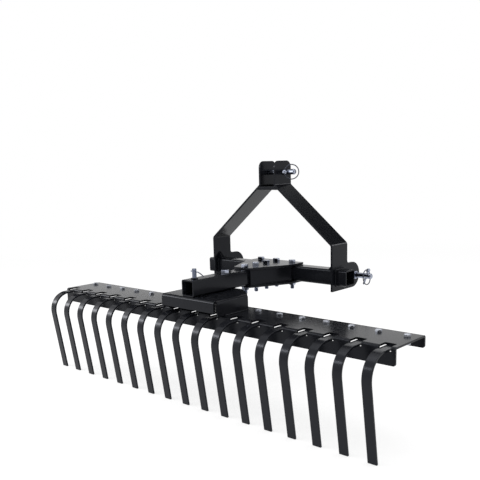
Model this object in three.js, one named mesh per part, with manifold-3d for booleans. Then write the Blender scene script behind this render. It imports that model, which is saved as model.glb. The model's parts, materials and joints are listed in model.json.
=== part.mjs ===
// A landscape rake for the three-point hitch of a garden tractor, in millimetres.
// +X runs along the beam, +Y points forward to the tractor and +Z is up.
// The origin is the middle of the axis of the two lower hitch pins.
import * as THREE from "three";
import { mergeVertices } from "three/addons/utils/BufferGeometryUtils.js";
import ManifoldModule from "manifold-3d";

const wasm = await ManifoldModule();
wasm.setup();

// Clearances
const seatGap = 0.3;
const swivelGap = 0.5;
const holeClearance = 0.4;
const indexClearance = 1.3;
const overrun = 5;
const shortestEdge = 0.03;

// Facets
const boltSides = 10;
const pinSides = 16;
const bendSteps = 3;
const ringSteps = 20;
const wireSides = 6;

// Hollow-section tubes of the hitch frame
const tubeSize = 45;
const tubeWall = 4;
const tubeCornerRadius = 6;
const tubeRise = 1.5;
const crossbarSetback = 63.5;
const crossbarLength = 534;

// Boom, with the head's pivot and its index lock near the rear end
const boomLength = 351;
const indexRadius = 119;
const boomRearMargin = 27;
const indexAngles = [-30, -15, 0, 15, 30];

// Gusset box that bolts the boom to the crossbar
const gussetThickness = 6;
const gussetRearWidth = 60;
const gussetFrontWidth = 176;
const gussetRearReach = 158.5;
const gussetShoulderReach = 37;
const gussetFrontReach = 22.5;
const gussetCornerRadius = 4;
const webRearReach = 153;
const webFrontMargin = 18;
const webThickness = 6;
const junctionBoltPitch = 48;
const crossbarBoltMargin = 27;
const boomBoltCount = 3;

// Junction bolts, pivot bolt and tine bolts
const junctionBolt = { radius: 6, flats: 18, head: 8, nut: 10, tail: 12 };
const pivotBolt = { radius: 7, flats: 21, head: 9, nut: 11, tail: 3 };
const tineBolt = { radius: 4, flats: 14.5, head: 5.3, nut: 6.8, tail: 2 };

// Mast sides, each one plate from the lower pin to the ear of the top link
const mastWidth = 75;
const mastThickness = 6;
const legSpread = 232.4;
const legBottom = 37;
const kneeHeight = 95.5;
const earSpread = 31.3;
const earBendHeight = 261.5;
const earMargin = 33;
const earCornerRadius = 20;
const mastBendRadius = 5;
const lobeNeckRadius = 8;
const topPinRise = 36.5;
const legGussetWidth = 20;
const legGussetHeight = 22;
const legGussetThickness = 10;
const legGussetSetback = 15;
const spacerThickness = 10;
const spacerDrop = 15;

// Hitch pins with their linch pins and rings
const hitchPinRadius = 8;
const pinChamfer = 2;
const lowerPinEnd = 297;
const lowerCollar = { radius: 12.5, width: 5 };
const lowerHex = { flats: 22, width: 8 };
const lowerNut = { flats: 24, width: 10, tail: 5 };
const lowerLinchStation = 280;
const lowerLinchTilt = -34;
const topPinEnd = 76;
const topPinHead = { radius: 12.5, width: 6 };
const topLinchStation = 50;
const topLinchTilt = 90;
const topRingAngle = 48;
const linchRadius = 3;
const linchTail = 27;
const linchHeadRise = 17;
const linchHeadRadius = 5.5;
const linchHeadHeight = 11;
const linchHeadRounding = 2;
const linchEyeRadius = 2.4;
const ringRadius = 21;
const ringWireRadius = 1.5;

// Lock pin, drawn up just clear of the saddle
const lockPinRadius = 6;
const lockPinLift = 1;
const lockPinTop = 28;
const lockBushRadius = 10;
const lockBushHeight = 3;
const lockWireRadius = 1.5;
const lockWireSteps = 12;
const lockWireDrop = 9;
const lockWireStub = 13;
const lockWireReach = 15;
const lockWireHook = 1.5;
const lockWireEnd = { along: 27, forward: 8, down: 11 };

// Saddle between the boom and the beam
const saddleHeight = 42;
const saddleThickness = 5;
const saddleBendRadius = 9;
const saddleHalfWidth = 108;
const saddleRearMargin = 32.5;
const saddleRearLip = 9.5;
const saddleRelief = 8;
const saddleSideFront = 26;
const saddleTongueReach = 22.5;
const saddleTongueHalfWidth = 45;
const saddleTongueRadius = 8;

// Beam, a channel that opens downward, notched at each tine
const tineCount = 17;
const tinePitch = 73;
const beamEndMargin = 25.5;
const beamDepth = 134;
const beamWall = 5;
const beamBendRadius = 6;
const rearFlange = 42;
const frontLip = 30;
const flangeCornerRadius = 5;
const beamRearOffset = 126;
const notchWidth = 30;
const notchDepth = 28;
const notchDrop = 12;
const notchCornerRadius = 5;

// Tines, flat bars bent down behind the beam
const tineWidth = 23.5;
const tineThickness = 5.5;
const tineFrontInset = 19;
const tineBoltInset = 36.6;
const tineReach = 73.4;
const tineBendRadius = 57;
const tineBendSteps = 8;
const tineLean = 8.5;
const tineDrop = 253;

// Places that follow from the sizes
const tubeHalf = tubeSize / 2;
const tubeTop = tubeRise + tubeHalf;
const tubeBottom = tubeRise - tubeHalf;
const boomFront = -crossbarSetback - tubeHalf - seatGap;
const boomRear = boomFront - boomLength;
const pivotY = boomRear + boomRearMargin + indexRadius;
const saddleTop = tubeBottom - swivelGap;
const deckTop = saddleTop - saddleHeight;
const crossbarBoltPitch = gussetFrontWidth / 2 - crossbarBoltMargin;
const webFrontSpread = gussetFrontWidth / 2 - webFrontMargin;
const mastInner = legSpread - mastThickness;
const topPinHeight = earBendHeight + topPinRise;
const earTop = topPinHeight + earMargin;
const spacerHeight = earBendHeight - spacerDrop;
const beamLength = (tineCount - 1) * tinePitch + 2 * beamEndMargin;
const tineTop = -beamWall - seatGap;

// Finishes
const blackPaint = { color: 0x232326, roughness: 0.42, metalness: 0.25 };
const tinePaint = { color: 0x2f3033, roughness: 0.38, metalness: 0.3 };
const zinc = { color: 0xb9bcc6, roughness: 0.32, metalness: 0.9 };

// Geometry to solid and back, for cutting and joining
function solidOf(geometry) {
  const bare = geometry.clone();
  bare.deleteAttribute("normal");
  bare.deleteAttribute("uv");
  const merged = mergeVertices(bare);
  return new wasm.Manifold(new wasm.Mesh({
    numProp: 3,
    vertProperties: Float32Array.from(merged.attributes.position.array),
    triVerts: Uint32Array.from(merged.index.array),
  }));
}

function geometryOf(solid) {
  const mesh = solid.getMesh();
  const geometry = new THREE.BufferGeometry();
  geometry.setAttribute("position", new THREE.BufferAttribute(Float32Array.from(mesh.vertProperties), 3));
  geometry.setIndex(new THREE.BufferAttribute(Uint32Array.from(mesh.triVerts), 1));
  geometry.computeVertexNormals();
  return geometry;
}

function joined(solids) {
  return solids.reduce((whole, solid) => whole.add(solid));
}

function cutBy(solid, tools) {
  return tools.reduce((rest, tool) => rest.subtract(tool), solid);
}

// Rounds a closed ring of corners, each given as x, y, radius and steps
function roundedRing(corners) {
  const ring = [];
  const count = corners.length;
  corners.forEach(([x, y, radius = 0, steps = bendSteps], i) => {
    const corner = new THREE.Vector2(x, y);
    if (radius <= 0) {
      ring.push(corner);
      return;
    }
    const before = corners[(i + count - 1) % count];
    const after = corners[(i + 1) % count];
    const back = new THREE.Vector2(before[0], before[1]).sub(corner).normalize();
    const ahead = new THREE.Vector2(after[0], after[1]).sub(corner).normalize();
    const half = Math.acos(back.dot(ahead)) / 2;
    const reach = radius / Math.tan(half);
    const middle = back.clone().add(ahead).normalize();
    const centre = corner.clone().addScaledVector(middle, radius / Math.sin(half));
    const start = corner.clone().addScaledVector(back, reach).sub(centre).angle();
    const end = corner.clone().addScaledVector(ahead, reach).sub(centre).angle();
    const sweep = Math.atan2(Math.sin(end - start), Math.cos(end - start));
    for (let step = 0; step <= steps; step += 1) {
      const angle = start + sweep * (step / steps);
      const point = new THREE.Vector2(Math.cos(angle), Math.sin(angle)).multiplyScalar(radius).add(centre);
      ring.push(point);
    }
  });
  return ring.filter((point, i) => point.distanceTo(ring[(i + 1) % ring.length]) > shortestEdge);
}

function shapeOf(corners) {
  return new THREE.Shape(roundedRing(corners));
}

// A bent strip of even thickness: one face follows the path, and the metal lies to its left.
// Each path corner is x, y, radius of that face and steps.
function stripShape(path, thickness) {
  const points = path.map(([x, y]) => new THREE.Vector2(x, y));
  const offset = path.map(([, , radius = 0, steps = bendSteps], i) => {
    const here = points[i];
    const directions = [];
    if (i > 0) directions.push(here.clone().sub(points[i - 1]).normalize());
    if (i < path.length - 1) directions.push(points[i + 1].clone().sub(here).normalize());
    const first = directions[0];
    const last = directions[directions.length - 1];
    const normals = [first, last].map((way) => new THREE.Vector2(-way.y, way.x));
    const mitre = normals[0].clone().add(normals[1]).divideScalar(1 + normals[0].dot(normals[1]));
    const place = here.clone().addScaledVector(mitre, thickness);
    const turnsLeft = first.cross(last) > 0;
    const offsetRadius = radius === 0 ? 0 : radius + (turnsLeft ? -thickness : thickness);
    return [place.x, place.y, offsetRadius, steps];
  });
  return shapeOf([...path, ...offset.reverse()]);
}

// Extrudes a shape from one station to another: YZ shapes along X, XZ along Y and XY along Z
const unitX = new THREE.Vector3(1, 0, 0);
const unitY = new THREE.Vector3(0, 1, 0);
const unitZ = new THREE.Vector3(0, 0, 1);
const uprightToX = new THREE.Matrix4().makeBasis(unitY, unitX, unitZ.clone().negate());

function prism(shape, axis, from, to) {
  const geometry = new THREE.ExtrudeGeometry(shape, { depth: to - from, bevelEnabled: false });
  if (axis === "x") {
    geometry.translate(0, 0, from);
    geometry.applyMatrix4(new THREE.Matrix4().makeBasis(unitY, unitZ, unitX));
  } else if (axis === "y") {
    geometry.translate(0, 0, -to);
    geometry.applyMatrix4(new THREE.Matrix4().makeBasis(unitX, unitZ, unitY.clone().negate()));
  } else {
    geometry.translate(0, 0, from);
  }
  return solidOf(geometry);
}

// A round bar, or with six sides a hexagon, along the named axis
function bar(axis, radius, from, to, sides) {
  const geometry = new THREE.CylinderGeometry(radius, radius, to - from, sides);
  geometry.translate(0, (from + to) / 2, 0);
  if (axis === "x") geometry.applyMatrix4(uprightToX);
  if (axis === "z") geometry.rotateX(Math.PI / 2);
  return solidOf(geometry);
}

function hexRadius(flats) {
  return flats / Math.sqrt(3);
}

// A turned pin along X from a profile of station and radius pairs
function turned(profile, sides) {
  const first = profile[0];
  const last = profile[profile.length - 1];
  const points = [[first[0], 0], ...profile, [last[0], 0]].map(([x, r]) => new THREE.Vector2(r, x));
  const geometry = new THREE.LatheGeometry(points, sides);
  geometry.applyMatrix4(uprightToX);
  return solidOf(geometry);
}

// A bolt with its nut, clamping everything from one height to another
function boltWithNut(size, top, bottom) {
  const headBase = top + seatGap;
  const nutTop = bottom - seatGap;
  const tail = nutTop - size.nut - size.tail;
  return joined([
    bar("z", hexRadius(size.flats), headBase, headBase + size.head, 6),
    bar("z", size.radius, tail, headBase + size.head / 2, boltSides),
    bar("z", hexRadius(size.flats), nutTop - size.nut, nutTop, 6),
  ]);
}

// One square tube, hollow from end to end
function squareTube(axis, from, to, centreA, centreB) {
  const ring = (half, radius) => [
    [centreA - half, centreB - half, radius],
    [centreA + half, centreB - half, radius],
    [centreA + half, centreB + half, radius],
    [centreA - half, centreB + half, radius],
  ];
  const shape = shapeOf(ring(tubeHalf, tubeCornerRadius));
  const bore = ring(tubeHalf - tubeWall, tubeCornerRadius - tubeWall);
  shape.holes.push(new THREE.Path(roundedRing(bore)));
  return prism(shape, axis, from, to);
}

const rake = new THREE.Group();

function addPiece(parent, name, solid, finish) {
  const mesh = new THREE.Mesh(geometryOf(solid), new THREE.MeshStandardMaterial(finish));
  mesh.name = name;
  parent.add(mesh);
  return mesh;
}

// Boom and crossbar

const boomBolts = Array.from({ length: boomBoltCount }, (_, i) => (
  [0, -crossbarSetback - (i + 1) * junctionBoltPitch]));
const crossbarBolts = [-1, 0, 1].map((side) => [side * crossbarBoltPitch, -crossbarSetback]);
const lockY = pivotY - indexRadius;

function uprightHole(x, y, radius, low, high, sides) {
  return bar("z", radius, low - overrun, high + overrun, sides).translate([x, y, 0]);
}

function boomTube() {
  const tube = squareTube("y", boomRear, boomFront, 0, tubeRise);
  const bush = bar("z", lockBushRadius, tubeTop - tubeWall / 2, tubeTop + lockBushHeight, pinSides);
  const holes = [
    uprightHole(0, pivotY, pivotBolt.radius + holeClearance, tubeBottom, tubeTop, pinSides),
    uprightHole(0, lockY, lockPinRadius + holeClearance, tubeBottom, tubeTop, pinSides),
    ...boomBolts.map(([x, y]) => (
      uprightHole(x, y, junctionBolt.radius + holeClearance, tubeBottom, tubeTop, boltSides))),
  ];
  return cutBy(tube.add(bush.translate([0, lockY, 0])), holes);
}

function crossbarTube() {
  const tube = squareTube("x", -crossbarLength / 2, crossbarLength / 2, -crossbarSetback, tubeRise);
  return cutBy(tube, crossbarBolts.map(([x, y]) => (
    uprightHole(x, y, junctionBolt.radius + holeClearance, tubeBottom, tubeTop, boltSides))));
}

// Gusset box: a flat top plate, and a bottom plate with two slanted webs standing on it

function gussetPlate(low, high) {
  const rear = -crossbarSetback - gussetRearReach;
  const shoulder = -crossbarSetback - gussetShoulderReach;
  const front = -crossbarSetback + gussetFrontReach;
  const plate = prism(shapeOf([
    [-gussetRearWidth / 2, rear, gussetCornerRadius],
    [gussetRearWidth / 2, rear, gussetCornerRadius],
    [gussetFrontWidth / 2, shoulder, gussetCornerRadius],
    [gussetFrontWidth / 2, front, gussetCornerRadius],
    [-gussetFrontWidth / 2, front, gussetCornerRadius],
    [-gussetFrontWidth / 2, shoulder, gussetCornerRadius],
  ]), "z", low, high);
  return cutBy(plate, [...boomBolts, ...crossbarBolts].map(([x, y]) => (
    uprightHole(x, y, junctionBolt.radius + holeClearance, low, high, boltSides))));
}

function gussetWeb(side) {
  const rear = [tubeHalf + seatGap, -crossbarSetback - webRearReach];
  const front = [webFrontSpread, boomFront];
  const slant = Math.atan2(front[0] - rear[0], front[1] - rear[1]);
  const width = webThickness / Math.cos(slant);
  return prism(shapeOf([
    [side * rear[0], rear[1]],
    [side * (rear[0] + width), rear[1]],
    [side * (front[0] + width), front[1]],
    [side * front[0], front[1]],
  ]), "z", tubeBottom - seatGap - gussetThickness / 2, tubeTop);
}

function gussetPan() {
  const plate = gussetPlate(tubeBottom - seatGap - gussetThickness, tubeBottom - seatGap);
  return joined([plate, gussetWeb(-1), gussetWeb(1)]);
}

// Mast: two bent plates, each with a lobe for the lower pin and an ear for the top link's pin

const mastRear = -crossbarSetback - mastWidth / 2;
const mastFront = -crossbarSetback + mastWidth / 2;

function mastPath(side) {
  return [
    [side * legSpread, -legBottom],
    [side * legSpread, kneeHeight, mastBendRadius + mastThickness],
    [side * earSpread, earBendHeight, mastBendRadius],
    [side * earSpread, earTop],
  ];
}

function mastSide() {
  const strip = prism(stripShape(mastPath(1), mastThickness), "y", mastRear, legBottom);
  const sideView = prism(shapeOf([
    [mastRear, -legBottom],
    [legBottom, -legBottom, legBottom, 2 * bendSteps],
    [legBottom, legBottom, legBottom, 2 * bendSteps],
    [mastFront, legBottom, lobeNeckRadius],
    [mastFront, earTop, earCornerRadius],
    [mastRear, earTop, earCornerRadius],
  ]), "x", 0, legSpread + overrun);
  const tubeOpening = tubeHalf + seatGap;
  const tubeWindow = prism(shapeOf([
    [-crossbarSetback - tubeOpening, tubeRise - tubeOpening, tubeCornerRadius],
    [-crossbarSetback + tubeOpening, tubeRise - tubeOpening, tubeCornerRadius],
    [-crossbarSetback + tubeOpening, tubeRise + tubeOpening, tubeCornerRadius],
    [-crossbarSetback - tubeOpening, tubeRise + tubeOpening, tubeCornerRadius],
  ]), "x", mastInner - overrun, legSpread + overrun);
  const holeRadius = hitchPinRadius + holeClearance;
  const lowerHole = bar("x", holeRadius, mastInner - overrun, legSpread + overrun, pinSides);
  const earHole = bar("x", holeRadius, earSpread - mastThickness - overrun, earSpread + overrun, pinSides);
  const topHole = earHole.translate([0, -crossbarSetback, topPinHeight]);
  const gussetBase = tubeTop + seatGap;
  const gussetMiddle = -crossbarSetback - legGussetSetback;
  const gusset = prism(shapeOf([
    [mastInner - legGussetWidth, gussetBase],
    [mastInner + mastThickness / 2, gussetBase],
    [mastInner + mastThickness / 2, gussetBase + legGussetHeight],
    [mastInner, gussetBase + legGussetHeight],
  ]), "y", gussetMiddle - legGussetThickness / 2, gussetMiddle + legGussetThickness / 2);
  return cutBy(strip.intersect(sideView).add(gusset), [tubeWindow, lowerHole, topHole]);
}

// The spacer's ends follow the slope of the mast sides
function mastSpacer() {
  const slope = (legSpread - earSpread) / (earBendHeight - kneeHeight);
  const gapAlongX = (mastThickness + seatGap) * Math.hypot(1, slope);
  const innerAt = (z) => earSpread + (earBendHeight - z) * slope - gapAlongX;
  const high = spacerHeight + spacerThickness;
  return prism(shapeOf([
    [-innerAt(spacerHeight), spacerHeight],
    [innerAt(spacerHeight), spacerHeight],
    [innerAt(high), high],
    [-innerAt(high), high],
  ]), "y", mastRear, mastFront);
}

// Hitch pins, in a frame whose +X leaves the mast and whose +Z is the linch pin's head end

function crossHole(station, tilt) {
  const hole = bar("z", linchRadius + holeClearance, -linchTail - overrun, linchTail + overrun, boltSides);
  return hole.rotate([tilt, 0, 0]).translate([station, 0, 0]);
}

function lowerHitchPin() {
  const nutOuter = mastInner - seatGap;
  const collarInner = legSpread + seatGap;
  const collarOuter = collarInner + lowerCollar.width;
  const shank = turned([
    [nutOuter - lowerNut.width - lowerNut.tail, hitchPinRadius],
    [collarInner, hitchPinRadius],
    [collarInner, lowerCollar.radius],
    [collarOuter, lowerCollar.radius],
    [collarOuter, hitchPinRadius],
    [lowerPinEnd - pinChamfer, hitchPinRadius],
    [lowerPinEnd, hitchPinRadius - pinChamfer],
  ], pinSides);
  const nut = bar("x", hexRadius(lowerNut.flats), nutOuter - lowerNut.width, nutOuter, 6);
  const hex = bar("x", hexRadius(lowerHex.flats), collarOuter - seatGap, collarOuter + lowerHex.width, 6);
  return cutBy(joined([shank, nut, hex]), [crossHole(lowerLinchStation, lowerLinchTilt)]);
}

function topLinkPin() {
  const headInner = -earSpread - seatGap;
  const pin = turned([
    [headInner - topPinHead.width, topPinHead.radius - pinChamfer],
    [headInner - topPinHead.width + pinChamfer, topPinHead.radius],
    [headInner, topPinHead.radius],
    [headInner, hitchPinRadius],
    [topPinEnd - pinChamfer, hitchPinRadius],
    [topPinEnd, hitchPinRadius - pinChamfer],
  ], pinSides);
  return cutBy(pin, [crossHole(topLinchStation, topLinchTilt)]);
}

// Linch pin along Z, its head's eye along Y
function linchPin() {
  const head = turned([
    [linchHeadRise - linchHeadHeight / 2, linchHeadRadius - linchHeadRounding],
    [linchHeadRise - linchHeadHeight / 2 + linchHeadRounding, linchHeadRadius],
    [linchHeadRise + linchHeadHeight / 2 - linchHeadRounding, linchHeadRadius],
    [linchHeadRise + linchHeadHeight / 2, linchHeadRadius - linchHeadRounding],
  ], boltSides);
  const shank = turned([
    [-linchTail, linchRadius / 2],
    [-linchTail + linchRadius, linchRadius],
    [linchHeadRise, linchRadius],
  ], boltSides);
  const eye = bar("y", linchEyeRadius, -linchHeadRadius - overrun, linchHeadRadius + overrun, boltSides);
  const standing = joined([head, shank]).rotate([0, -90, 0]);
  return cutBy(standing, [eye.translate([0, 0, linchHeadRise])]);
}

// Ring through the head's eye, hanging down from it
function linchRing() {
  const ring = new THREE.TorusGeometry(ringRadius, ringWireRadius, wireSides, ringSteps);
  ring.applyMatrix4(new THREE.Matrix4().makeBasis(unitY, unitZ, unitX));
  ring.translate(0, 0, -ringRadius);
  return solidOf(ring);
}

const ringClosedTurn = Math.asin((linchRadius + ringWireRadius + seatGap) / (2 * ringRadius));
const ringClosedAngle = THREE.MathUtils.radToDeg(ringClosedTurn);

function addLinchPin(parent, suffix, station, tilt, ringAngle) {
  const holder = new THREE.Group();
  holder.position.set(station, 0, 0);
  holder.rotation.x = THREE.MathUtils.degToRad(tilt);
  parent.add(holder);
  addPiece(holder, `linch_pin_${suffix}`, linchPin(), zinc);
  const ring = addPiece(holder, `linch_ring_${suffix}`, linchRing(), zinc);
  ring.position.z = linchHeadRise;
  ring.rotation.y = -THREE.MathUtils.degToRad(ringAngle);
}

// Lock pin with the bent wire through its top
function lockPin() {
  const low = tubeBottom + lockPinLift;
  const high = tubeTop + lockPinTop;
  const pin = turned([
    [low, lockPinRadius - pinChamfer],
    [low + pinChamfer, lockPinRadius],
    [high - pinChamfer / 2, lockPinRadius],
    [high, lockPinRadius - pinChamfer / 2],
  ], pinSides).rotate([0, -90, 0]);
  const wireZ = high - lockWireDrop;
  const route = new THREE.CatmullRomCurve3([
    new THREE.Vector3(-lockWireStub, 0, wireZ + lockWireHook),
    new THREE.Vector3(-lockPinRadius, 0, wireZ),
    new THREE.Vector3(lockPinRadius, 0, wireZ),
    new THREE.Vector3(lockWireReach, 0, wireZ),
    new THREE.Vector3(lockWireEnd.along, lockWireEnd.forward, wireZ - lockWireEnd.down),
  ]);
  const section = new THREE.Shape().absarc(0, 0, lockWireRadius, 0, 2 * Math.PI);
  const wire = new THREE.ExtrudeGeometry(section, {
    steps: lockWireSteps,
    extrudePath: route,
    curveSegments: wireSides / 2,
  });
  return pin.add(solidOf(wire));
}

// Hitch frame assembly

const hitch = new THREE.Group();
rake.add(hitch);

addPiece(hitch, "boom_tube", boomTube(), blackPaint);
addPiece(hitch, "crossbar_tube", crossbarTube(), blackPaint);
const plateBase = tubeTop + seatGap;
addPiece(hitch, "gusset_plate_top", gussetPlate(plateBase, plateBase + gussetThickness), blackPaint);
addPiece(hitch, "gusset_pan_bottom", gussetPan(), blackPaint);
addPiece(hitch, "mast_side_right", mastSide(), blackPaint);
addPiece(hitch, "mast_side_left", mastSide().mirror([1, 0, 0]), blackPaint);
addPiece(hitch, "mast_spacer", mastSpacer(), blackPaint);

const junctionStack = tubeHalf + seatGap + gussetThickness;
[...boomBolts, ...crossbarBolts].forEach(([x, y], i) => {
  const bolt = boltWithNut(junctionBolt, junctionStack, -junctionStack);
  const mesh = addPiece(hitch, `junction_bolt_${i + 1}`, bolt, zinc);
  mesh.position.set(x, y, tubeRise);
});

const pivotStack = boltWithNut(pivotBolt, tubeTop, saddleTop - saddleThickness);
addPiece(hitch, "pivot_bolt", pivotStack, zinc).position.y = pivotY;
addPiece(hitch, "lock_pin", lockPin(), zinc).position.y = lockY;

[["right", 0], ["left", Math.PI]].forEach(([side, turn]) => {
  const lower = new THREE.Group();
  lower.rotation.z = turn;
  hitch.add(lower);
  addPiece(lower, `lower_hitch_pin_${side}`, lowerHitchPin(), zinc);
  addLinchPin(lower, side, lowerLinchStation, lowerLinchTilt, ringClosedAngle);
});

const top = new THREE.Group();
top.position.set(0, -crossbarSetback, topPinHeight);
hitch.add(top);
addPiece(top, "top_link_pin", topLinkPin(), zinc);
addLinchPin(top, "top", topLinchStation, topLinchTilt, topRingAngle);

// Rake head, in a frame on the pivot axis at the top of the beam's deck

const head = new THREE.Group();
head.position.set(0, pivotY, deckTop);
rake.add(head);

function swivelSaddle() {
  const rear = -indexRadius - saddleRearMargin;
  const flangeFoot = seatGap;
  const sides = prism(stripShape([
    [saddleHalfWidth, flangeFoot],
    [saddleHalfWidth, saddleHeight, saddleBendRadius],
    [-saddleHalfWidth, saddleHeight, saddleBendRadius],
    [-saddleHalfWidth, flangeFoot],
  ], saddleThickness), "y", rear + saddleRelief, -saddleSideFront);
  const backHalf = saddleHalfWidth - saddleRelief;
  const spine = prism(stripShape([
    [saddleTongueReach, saddleHeight],
    [rear, saddleHeight, saddleBendRadius],
    [rear, saddleRearLip],
  ], saddleThickness), "x", -backHalf, backHalf);
  const plan = prism(shapeOf([
    [-saddleHalfWidth, rear - overrun],
    [saddleHalfWidth, rear - overrun],
    [saddleHalfWidth, -saddleSideFront],
    [saddleTongueHalfWidth, saddleTongueReach, saddleTongueRadius],
    [-saddleTongueHalfWidth, saddleTongueReach, saddleTongueRadius],
    [-saddleHalfWidth, -saddleSideFront],
  ]), "z", 0, saddleHeight + overrun);
  const pivotHole = uprightHole(0, 0, pivotBolt.radius + holeClearance, 0, saddleHeight, pinSides);
  const indexHoles = indexAngles.map((degrees) => {
    const angle = THREE.MathUtils.degToRad(degrees);
    const x = indexRadius * Math.sin(angle);
    const y = -indexRadius * Math.cos(angle);
    return uprightHole(x, y, lockPinRadius + indexClearance, 0, saddleHeight, pinSides);
  });
  return cutBy(sides.add(spine.intersect(plan)), [pivotHole, ...indexHoles]);
}

const tineStations = Array.from({ length: tineCount }, (_, i) => (i - (tineCount - 1) / 2) * tinePitch);

function rakeBeam() {
  const channel = prism(stripShape([
    [beamDepth, -frontLip],
    [beamDepth, 0, beamBendRadius],
    [0, 0, beamBendRadius],
    [0, -rearFlange],
  ], beamWall), "x", -beamLength / 2, beamLength / 2);
  const notch = prism(shapeOf([
    [-notchWidth / 2, -overrun],
    [notchWidth / 2, -overrun],
    [notchWidth / 2, notchDepth, notchCornerRadius],
    [-notchWidth / 2, notchDepth, notchCornerRadius],
  ]), "z", -notchDrop, overrun);
  const flangeView = (low, rear, front) => prism(shapeOf([
    [-beamLength / 2, low, flangeCornerRadius],
    [beamLength / 2, low, flangeCornerRadius],
    [beamLength / 2, overrun],
    [-beamLength / 2, overrun],
  ]), "y", rear, front);
  const rearView = flangeView(-rearFlange, -overrun, beamDepth / 2);
  const frontView = flangeView(-frontLip, beamDepth / 2, beamDepth + overrun);
  const holeRadius = tineBolt.radius + holeClearance;
  const boltHole = uprightHole(0, beamDepth - tineBoltInset, holeRadius, -beamWall, 0, boltSides);
  const tools = tineStations.flatMap((x) => [notch.translate([x, 0, 0]), boltHole.translate([x, 0, 0])]);
  return cutBy(channel.intersect(rearView.add(frontView)), tools);
}

// One tine, flat under the deck, then bent down behind the beam and leaning forward to its tip
function tine() {
  const lean = THREE.MathUtils.degToRad(tineLean);
  const bendCentre = -tineReach + tineBendRadius;
  const corner = bendCentre - tineBendRadius * (Math.cos(lean) + (1 + Math.sin(lean)) * Math.tan(lean));
  const tip = corner + (tineDrop + tineTop) * Math.tan(lean);
  const blade = prism(stripShape([
    [beamDepth - tineFrontInset, tineTop],
    [corner, tineTop, tineBendRadius, tineBendSteps],
    [tip, -tineDrop],
  ], tineThickness), "x", -tineWidth / 2, tineWidth / 2);
  const hole = uprightHole(0, beamDepth - tineBoltInset, tineBolt.radius + holeClearance,
    tineTop - tineThickness, tineTop, boltSides);
  return cutBy(blade, [hole]);
}

addPiece(head, "swivel_saddle", swivelSaddle(), blackPaint);
addPiece(head, "rake_beam", rakeBeam(), blackPaint).position.y = -beamRearOffset;

tineStations.forEach((x, i) => {
  const number = String(i + 1).padStart(2, "0");
  addPiece(head, `tine_${number}`, tine(), tinePaint).position.set(x, -beamRearOffset, 0);
  const bolt = boltWithNut(tineBolt, 0, tineTop - tineThickness);
  const boltMesh = addPiece(head, `tine_bolt_${number}`, bolt, zinc);
  boltMesh.position.set(x, beamDepth - tineBoltInset - beamRearOffset, 0);
});

export default rake;
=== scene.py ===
import json
import math
import random

import bmesh
import bpy
from mathutils import Matrix, Vector

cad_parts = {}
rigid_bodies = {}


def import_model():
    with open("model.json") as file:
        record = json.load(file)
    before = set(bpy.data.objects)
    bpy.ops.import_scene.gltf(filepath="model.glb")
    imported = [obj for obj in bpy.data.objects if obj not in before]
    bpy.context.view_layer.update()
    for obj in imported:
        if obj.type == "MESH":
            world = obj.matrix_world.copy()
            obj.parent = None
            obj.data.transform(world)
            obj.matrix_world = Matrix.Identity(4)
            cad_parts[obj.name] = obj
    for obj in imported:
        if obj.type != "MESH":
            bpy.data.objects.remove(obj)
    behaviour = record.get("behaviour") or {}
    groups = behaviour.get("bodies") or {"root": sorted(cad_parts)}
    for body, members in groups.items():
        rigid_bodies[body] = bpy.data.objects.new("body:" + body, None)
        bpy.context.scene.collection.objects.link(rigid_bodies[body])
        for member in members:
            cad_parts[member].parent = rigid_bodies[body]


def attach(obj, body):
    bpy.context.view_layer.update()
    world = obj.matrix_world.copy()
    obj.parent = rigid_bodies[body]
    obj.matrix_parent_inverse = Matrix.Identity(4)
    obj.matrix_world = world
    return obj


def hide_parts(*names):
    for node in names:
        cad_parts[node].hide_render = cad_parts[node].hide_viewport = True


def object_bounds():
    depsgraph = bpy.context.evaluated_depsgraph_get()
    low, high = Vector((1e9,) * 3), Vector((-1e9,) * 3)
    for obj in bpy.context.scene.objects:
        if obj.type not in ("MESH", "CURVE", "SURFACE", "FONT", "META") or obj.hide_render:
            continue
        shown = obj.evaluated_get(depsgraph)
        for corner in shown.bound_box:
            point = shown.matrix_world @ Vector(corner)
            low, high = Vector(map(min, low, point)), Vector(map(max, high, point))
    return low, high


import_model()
cadLow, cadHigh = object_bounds()
mm = 0.001
random.seed(7)

# Where the photograph was taken from: behind the rake, to its right and a little above
photoView = {
    "place": (1279.7, -1619.1, 319.2),  # mm
    "azimuth": 42.80,
    "elevation": 10.81,
    "roll": -1.58,
    "lens": 49.66,
    "shift": (0.0028, 0.1089),
    "farthest": 50,  # m
}


def rotation(degrees, axis):
    return Matrix.Rotation(math.radians(degrees), 4, axis)


def addCamera(view):
    bpy.ops.object.camera_add()
    camera = bpy.context.object
    camera.name = "photoCamera"
    turn = rotation(view["azimuth"], "Z")
    tilt = rotation(90 - view["elevation"], "X")
    roll = rotation(view["roll"], "Z")
    shift = Matrix.Translation(Vector(view["place"]) * mm)
    camera.matrix_world = shift @ turn @ tilt @ roll
    camera.data.lens = view["lens"]
    camera.data.shift_x, camera.data.shift_y = view["shift"]
    camera.data.clip_end = view["farthest"]
    bpy.context.scene.camera = camera


addCamera(photoView)


# Colours are written in sRGB hex, and the nodes take them linear
def toLinear(hexColour):
    channels = [int(hexColour[i:i + 2], 16) / 255 for i in (1, 3, 5)]
    return [c / 12.92 if c <= 0.04045 else ((c + 0.055) / 1.055) ** 2.4 for c in channels] + [1]


# One node with its settings, and its inputs given as values or as sockets to link from
def addNode(tree, kind, settings=None, inputs=None):
    node = tree.nodes.new(kind)
    for key, value in (settings or {}).items():
        setattr(node, key, value)
    for key, value in (inputs or {}).items():
        if isinstance(value, bpy.types.NodeSocket):
            tree.links.new(value, node.inputs[key])
        else:
            node.inputs[key].default_value = value
    return node


# A pattern's scale from the real size of its features
def patternScale(sizeInMm):
    return 1 / (sizeInMm * mm)


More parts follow.
